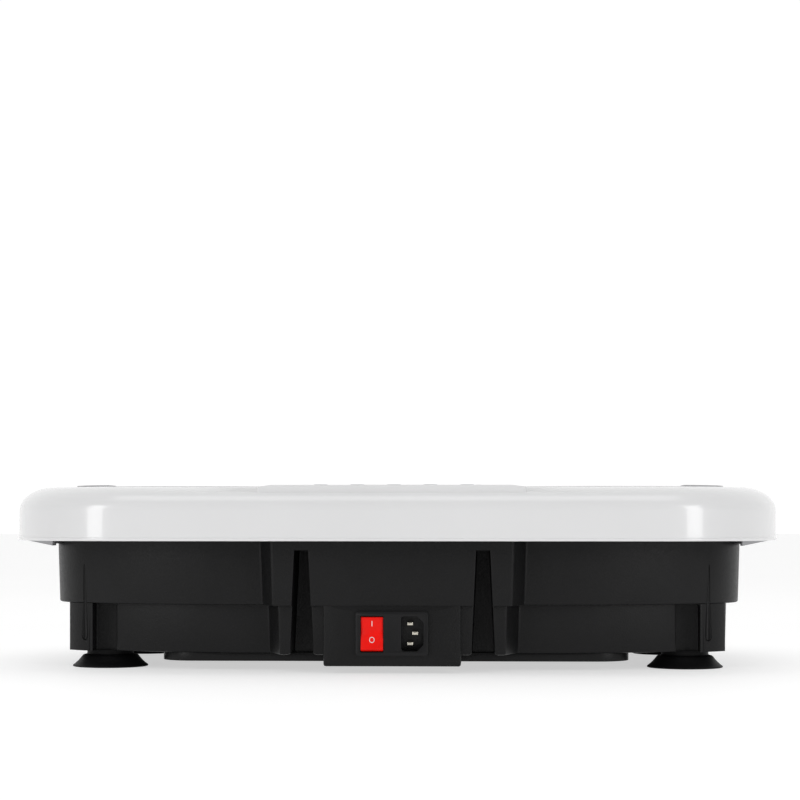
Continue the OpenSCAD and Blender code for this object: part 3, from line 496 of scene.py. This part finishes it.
def tub_row(z, lower, inset, front_pocket, rear_pocket):
    """The tub's outline at one height, as points with the radius of each corner."""
    upper_tier = Tier(UPPER, inset if not lower else 1.5)
    tier = Tier(LOWER, inset) if lower else upper_tier
    corner = upper_tier if lower else tier
    p = [(0, -tier.front, 0)]
    h = pocket_half(z, 8, 6.5, 4.7, 86) + (inset if z < TUB_Z + 1.3 else 0)
    deep = POCKET_DEPTH - UPPER["front"] if front_pocket else -tier.front
    x = FRONT_POCKET
    p += [(x - h, -tier.front, 1.1), (x - h, deep, 0.8), (x + h, deep, 0.8),
          (x + h, -tier.front, 1.1)]
    start = tier.edge + BLOCK_SLOPE
    p += [(tier.edge, -tier.front, 1.6), (start, tier.front_y(start), 1.6)]
    n0, n1 = FOOT_X - NOTCH_HALF, FOOT_X + NOTCH_HALF
    p += [(start + (n0 - start) * i / 18, tier.front_y(start + (n0 - start) * i / 18), 0)
          for i in range(1, 18)]
    back = NOTCH_FRONT_Y if lower else None
    p += [(n0, tier.front_y(n0), 1.1), (n0, back or tier.front_y(n0), 0.8),
          (n1, back or corner.front_y(n1), 0.8), (n1, corner.front_y(n1), 1.1)]
    p += [(n1 + (COLUMN_X - n1) * i / 6, corner.front_y(n1 + (COLUMN_X - n1) * i / 6), 0)
          for i in range(1, 6)]
    p += [(COLUMN_X, corner.front_y(COLUMN_X), 0.8), (COLUMN_X, tier.front_y(COLUMN_X), 0.5)]
    first = tier.lobe_angle(COLUMN_X)
    p += [(a, b, 0) for a, b in arc(*LOBE, tier.lobe, first, tier.side, 10)[1:]]
    p += [(tier.side_x(COLUMN_REAR_Y), COLUMN_REAR_Y, 0.2),
          (corner.side_x(COLUMN_REAR_Y + 0.5), COLUMN_REAR_Y + 0.5, 0.3)]
    end = math.degrees(math.acos((n1 - REAR_X) / corner.rear_r))
    p += [(a, b, 0) for a, b in
          arc(REAR_X, corner.rear_y, corner.rear_r, corner.side, end, 10)[:-1]]
    back = NOTCH_REAR_Y if lower else None
    p += [(n1, corner.rear_corner_y(n1), 1.1), (n1, back or corner.rear_corner_y(n1), 0.8),
          (n0, back or tier.rear_corner_y(n0), 0.8), (n0, tier.rear_corner_y(n0), 0.8)]
    wall = tier.rear_y + tier.rear_r
    p += [(REAR_X, wall, 0)]
    h = pocket_half(z, 8.5, 6.5, 4.5, 85) + (inset if z < TUB_Z + 1.3 else 0)
    deep = UPPER["rear_y"] + REAR_R - POCKET_DEPTH if rear_pocket else wall
    x = REAR_POCKET
    p += [(x + h, wall, 1.1), (x + h, deep, 0.8), (x - h, deep, 0.8), (x - h, wall, 1.1)]
    p += [(0, wall, 0)]
    left = [(-x, y, r) for x, y, r in reversed(p[1:-1])]
    return [(x, y, z) for x, y in filleted(p + left)]


def filleted(corners, steps=4):
    """Rounds the corners that have a radius; every row gets the same number of points."""
    out = []
    n = len(corners)
    for i, (x, y, r) in enumerate(corners):
        if not r:
            out.append((x, y))
            continue
        here = Vector((x, y))
        before = Vector(corners[i - 1][:2]) - here
        after = Vector(corners[(i + 1) % n][:2]) - here
        cut = min(r, before.length * 0.45, after.length * 0.45)
        a = here + before.normalized() * cut if before.length > 0 else here
        b = here + after.normalized() * cut if after.length > 0 else here
        for k in range(steps + 1):
            t = k / steps
            out.append(tuple((1 - t) ** 2 * a + 2 * t * (1 - t) * here + t ** 2 * b))
    return out


def base_tub():
    rows = [
        tub_row(TUB_Z, True, 2.1, True, True),
        tub_row(TUB_Z + 0.35, True, 1.3, True, True),
        tub_row(TUB_Z + 1.3, True, 0.9, True, True),
        tub_row(LEDGE_Z, True, 0, True, True),
        tub_row(LEDGE_Z, False, 2.7, True, True),
        tub_row(LEDGE_Z + 0.35, False, 1.85, True, True),
        tub_row(LEDGE_Z + 1.3, False, 1.5, True, True),
        tub_row(85, False, 0.4, True, True),
        tub_row(85, False, 0.4, True, False),
        tub_row(86, False, 0.4, True, False),
        tub_row(86, False, 0.4, False, False),
        tub_row(TUB_TOP, False, 0, False, False),
    ]
    bm = bmesh.new()
    loft(bm, rows, True, False)
    tub = new_piece("tub_shell", bm, "base", "textured_black_plastic", "base_tub")
    solid = tub.modifiers.new("wall", "SOLIDIFY")
    solid.thickness = TUB_WALL * MM
    solid.offset = -1
    settle(tub, 30)
    boolean(tub, [cutter(lambda bm, x=side * x, y=y: revolve(bm, GROOVE_PROFILE, (x, y, 0),
                                                             steps=24))
                  for side in (-1, 1) for x, y in GROOVES], "DIFFERENCE")

    bm = bmesh.new()
    half, z0, z1 = 48, 5, LEDGE_Z + 2

    def ring(hx, low, high, r, y):
        return [(x, y, z) for x, z in
                round_rect(0, (low + high) / 2, hx, (high - low) / 2, r, 4)]

    loft(bm, [ring(half, z0, z1, 1.6, -121), ring(half, z0, z1, 1.6, -146.9),
              ring(half - 0.3, z0 + 0.3, z1 - 0.3, 1.4, -147.7),
              ring(half - 1.1, z0 + 1.1, z1 - 1.1, 1.0, -148),
              ring(23.6, 14.2, 41.9, 0.5, -148), ring(23.6, 14.2, 41.9, 0.5, -122)])
    block = new_piece("switch_block", bm, "base", "textured_black_plastic")
    settle(block, 30)


def feet():
    for node in [n for n in body_of if n.startswith("suction_foot")]:
        low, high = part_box(node)
        c = (low + high) / 2 / MM
        bm = bmesh.new()
        profile = [(3.2, 8), (6.4, 8), (6.4, 4.6), (12, 4.6), (19, 2.6), (24.6, 0.1), (26.9, 0),
                   (27.4, 0.25), (27.5, 0.7), (27.2, 1.2), (25.6, 2.4), (23.6, 4.2), (21.8, 6.2),
                   (20.4, 8.0), (19.6, 8.6), (18.2, 8.9), (17.2, 9.3), (17, 10), (17, 12.5),
                   (3.2, 12.5), (3.2, 8)]
        rows = []
        steps = 72
        for radius, height in profile:
            rows.append([(c.x + radius * math.cos(2 * math.pi * i / steps),
                          c.y + radius * math.sin(2 * math.pi * i / steps), height)
                         for i in range(steps)])
        loft(bm, rows, False, False)
        foot = new_piece(node.replace("suction", "rubber"), bm, "base", "black_rubber", node)
        settle(foot, 40)


# ---- inlet and rocker ----


def inlet_and_switch():
    refined("inlet_housing", 0.3)
    refined("inlet_pins", 0.2)
    refined("rocker_switch", 0.5)
    white = Shader("white_mark", 0.4)
    white.colour(white.ramp(white.noise(900), (0.78, 0.76, 0.76), (0.84, 0.83, 0.83)))
    pivot = Vector((-13.9, -146.5, 27.6))
    tilt = Matrix.Rotation(math.radians(-9), 4, "X")

    def face_y(z):
        """The rocker's own front face, level, at a height above the pivot."""
        return -3.2 - 2.1 * (abs(z) / 11.1) ** 1.3

    def on_face(x, z, out=0.06):
        return pivot + tilt @ Vector((x, face_y(z) - out, z))

    bm = bmesh.new()
    rows = []
    for out in (-0.2, 0.08):
        rows.append([on_face(x, z, out) for x, z in
                     [(-0.24, 5.0), (0.24, 5.0), (0.24, 8.6), (-0.24, 8.6)]])
    loft(bm, rows)
    mark = new_piece("mark_on", bm, "rocker", None)
    mark.data.materials.append(white.material)
    bm = bmesh.new()
    steps = 40
    loops = []
    for radius, out in ((1.4, -0.2), (1.85, -0.2), (1.85, 0.08), (1.4, 0.08), (1.4, -0.2)):
        loops.append([on_face(radius * math.cos(2 * math.pi * i / steps),
                              -4.6 + radius * 1.15 * math.sin(2 * math.pi * i / steps), out)
                      for i in range(steps)])
    loft(bm, loops, False, False)
    mark = new_piece("mark_off", bm, "rocker", None)
    mark.data.materials.append(white.material)


deck_cover()
console()
base_tub()
feet()
inlet_and_switch()
for name, width in (("bottom_pan", 0.8), ("deck_tray", 0.4), ("foot_mat_left", 0.25),
                    ("foot_mat_right", 0.25), ("mat_accents", 0.3), ("nub_strip", 0.2)):
    refined(name, width)

# ---- light, floor and camera ----

WORLD_STRENGTH = (("From Min", -0.6), ("From Max", 0.9), ("To Min", 0.42), ("To Max", 1.02))
FLOOR_RADIUS = 12
SOFTBOX_TARGET = Vector((0, 0, 0.08))
STRIP = {"elevation": 14, "distance": 2.2, "size": (0.5, 1.3), "power": 9}
STRIP_AZIMUTH = 42
TOP = {"elevation": 78, "distance": 2.0, "size": (1.6, 1.0), "power": 6}
CAMERA_SIDE, CAMERA_AWAY, CAMERA_Z = 0.066, 1.75, 0.1105
CAMERA_LENS, CAMERA_SHIFT = 103.5, 0.144


def make_studio():
    """A white studio, brighter behind the object (+Y) than on the inlet side."""
    world = bpy.data.worlds.new("studio")
    bpy.context.scene.world = world
    world.use_nodes = True
    nodes, links = world.node_tree.nodes, world.node_tree.links
    coords = nodes.new("ShaderNodeTexCoord")
    split = nodes.new("ShaderNodeSeparateXYZ")
    strength = nodes.new("ShaderNodeMapRange")
    strength.interpolation_type = "SMOOTHSTEP"
    for socket, value in WORLD_STRENGTH:
        strength.inputs[socket].default_value = value
    links.new(coords.outputs["Generated"], split.inputs["Vector"])
    links.new(split.outputs["Y"], strength.inputs["Value"])
    nodes["Background"].inputs["Color"].default_value = (1, 1, 1, 1)
    links.new(strength.outputs["Result"], nodes["Background"].inputs["Strength"])
    bpy.context.scene.view_settings.view_transform = "Standard"


def make_floor():
    mesh = bpy.data.meshes.new("floor")
    bm = bmesh.new()
    bmesh.ops.create_circle(bm, cap_ends=True, segments=96, radius=FLOOR_RADIUS)
    bm.to_mesh(mesh)
    bm.free()
    floor = bpy.data.objects.new("floor", mesh)
    bpy.context.scene.collection.objects.link(floor)
    s = Shader("pale_floor", 0.7, specular=0.2)
    s.colour(s.ramp(s.noise(3, 3), (0.48, 0.48, 0.48), (0.5, 0.5, 0.5)))
    s.set("Emission Color", (1, 1, 1, 1))
    s.set("Emission Strength", 0.56)
    floor.data.materials.append(s.material)


def softbox(name, azimuth, elevation, distance, size, power):
    """An area light that looks at the object; azimuth 0 is on the -Y side."""
    a, e = math.radians(azimuth), math.radians(elevation)
    lamp = bpy.data.lights.new(name, "AREA")
    lamp.shape = "RECTANGLE"
    lamp.size, lamp.size_y = size
    lamp.energy = power
    obj = bpy.data.objects.new(name, lamp)
    away = Vector((math.sin(a) * math.cos(e), -math.cos(a) * math.cos(e), math.sin(e)))
    obj.location = SOFTBOX_TARGET + away * distance
    obj.rotation_euler = away.to_track_quat("Z", "Y").to_euler()
    bpy.context.scene.collection.objects.link(obj)


def make_camera():
    cam = bpy.data.cameras.new("camera")
    cam.sensor_width = 36
    cam.lens = CAMERA_LENS
    cam.shift_y = CAMERA_SHIFT
    obj = bpy.data.objects.new("camera", cam)
    obj.location = (CAMERA_SIDE, -CAMERA_AWAY, CAMERA_Z)
    obj.rotation_euler = (math.radians(90), 0, math.atan2(CAMERA_SIDE, CAMERA_AWAY))
    cam.clip_start, cam.clip_end = 0.05, 60
    bpy.context.scene.collection.objects.link(obj)
    bpy.context.scene.camera = obj


make_studio()
make_floor()
for side, name in ((-1, "left"), (1, "right")):
    softbox("strip_" + name, side * STRIP_AZIMUTH, **STRIP)
softbox("top", 0, **TOP)
make_camera()
